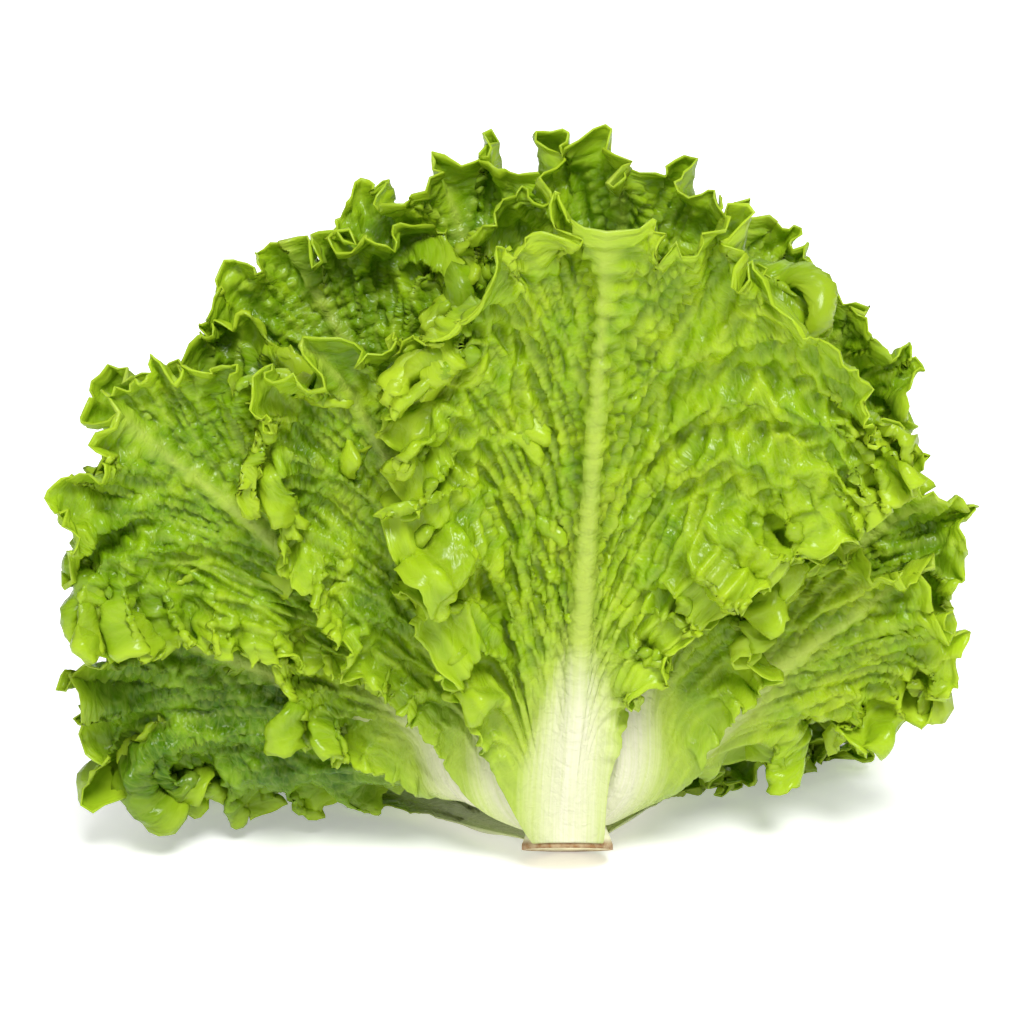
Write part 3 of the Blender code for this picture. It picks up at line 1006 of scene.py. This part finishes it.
def stemMaterial():
    material, t, shader = newMaterial("cutStem")
    place = t.attribute("place", "Vector")
    cloud = t.noise(place, stem["cloud"], 4.0)
    fleck = t.noise(place, stem["fleck"], 3.0)
    colour = t.mix(t.ranged(cloud, 0.3, 0.7), stem["flesh"], stem["skin"])
    colour = t.mix(t.attribute("wall"), colour, stem["skin"])
    uneven = t.ranged(cloud, 0.3, 0.6, 0.5, 1.1)
    brown = t.math("MULTIPLY", t.attribute("rim"), uneven, clamp=True)
    colour = t.mix(brown, colour, stem["rim"])
    dark = t.math("MULTIPLY", t.ranged(fleck, 0.62, 0.72), t.ranged(cloud, 0.35, 0.6))
    colour = t.mix(t.math("MULTIPLY", dark, stem["fleckShare"]), colour, stem["rim"])
    t.join(colour, shader.inputs["Base Color"])
    t.join(t.ranged(cloud, 0.2, 0.8, 0.5, 0.75), shader.inputs["Roughness"])
    lifted = t.math("ADD", fleck, cloud)
    t.join(t.bump(lifted, stem["bumpStrength"], stem["bumpDepth"]), shader.inputs["Normal"])
    return material


studio = {
    "elevation": radians(16),
    "distance": 1.3,
    "metresAcross": 0.389,  # seen across the frame at the head's distance
    "aimRight": -0.0213,  # of the stem's front rim, and above it, square to the view
    "aimUp": 0.1269,
    "sensor": 36,
    "clipEnd": 50,
    "skyLight": 0.27,
    "floorGlow": 0.34,
    "floorGrey": 0.93,
    "floorSide": 12.0,
}
# Angles in degrees. A sun's azimuth is 0 from the front and more to the right
suns = {
    "keyLight": dict(strength=3.3, softness=22, azimuth=12, elevation=50),
    "fillLight": dict(strength=0.5, softness=60, azimuth=-35, elevation=30),
    "backLight": dict(strength=1.1, softness=60, azimuth=165, elevation=50),
}


def makeFloor():
    mesh = bpy.data.meshes.new("floor")
    half = studio["floorSide"] / 2
    corners = [(-half, -half, 0), (half, -half, 0), (half, half, 0), (-half, half, 0)]
    mesh.from_pydata(corners, [], [(0, 1, 2, 3)])
    floor = addObject("floor", mesh)
    floor.location.z = cadBox[0][2]
    material, _, shader = newMaterial("floorPaper")
    shader.inputs["Base Color"].default_value = (studio["floorGrey"],) * 3 + (1,)
    shader.inputs["Roughness"].default_value = 0.9
    shader.inputs["Specular IOR Level"].default_value = 0.1
    shader.inputs["Emission Color"].default_value = (1, 1, 1, 1)
    shader.inputs["Emission Strength"].default_value = studio["floorGlow"]
    mesh.materials.append(material)


def makeSun(name, strength, softness, azimuth, elevation):
    light = bpy.data.lights.new(name, "SUN")
    light.energy = strength
    light.angle = radians(softness)
    addObject(name, light).rotation_euler = (radians(90 - elevation), 0, radians(azimuth))


def makeLights():
    world = bpy.data.worlds.new("studio")
    bpy.context.scene.world = world
    world.use_nodes = True
    sky = world.node_tree.nodes["Background"]
    sky.inputs["Color"].default_value = (1, 1, 1, 1)
    sky.inputs["Strength"].default_value = studio["skyLight"]
    for name, sun in suns.items():
        makeSun(name, **sun)


def makeCamera():
    low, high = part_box("stem")
    up = Vector((0, sin(studio["elevation"]), cos(studio["elevation"])))
    away = Vector((0, -cos(studio["elevation"]), sin(studio["elevation"])))
    rimHeight = 2 * head["stemRadius"] * sin(head["leanBack"])
    rim = Vector(((low.x + high.x) / 2, low.y, low.z + rimHeight))
    target = rim + Vector((studio["aimRight"], 0, 0)) + up * studio["aimUp"]
    data = bpy.data.cameras.new("camera")
    data.sensor_width = studio["sensor"]
    data.lens = studio["sensor"] * studio["distance"] / studio["metresAcross"]
    data.clip_end = studio["clipEnd"]
    camera = addObject("camera", data)
    camera.location = target + away * studio["distance"]
    camera.rotation_euler = (radians(90) - studio["elevation"], 0, 0)
    bpy.context.scene.camera = camera


def show(piece, node, material):
    piece.data.materials.append(material)
    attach(piece, "root")
    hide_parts(node)


bpy.context.scene.view_settings.view_transform = "Standard"
shift = stemShift()
makeFloor()
makeLights()
makeCamera()
print("stage, lights and camera are set")

room = measureRoom()
print("room between the leaves is measured")

leafGreen = leafMaterial(veinNetGroup())
for leafName in leafOrder:
    sheet = makeLeaf(leafName, room)
    show(sheet, leafName, leafGreen)
    print(leafName, len(sheet.data.polygons), "faces")

cutStem = addObject("stem_cut", stemMesh())
show(cutStem, "stem", stemMaterial())
print("stem is made")
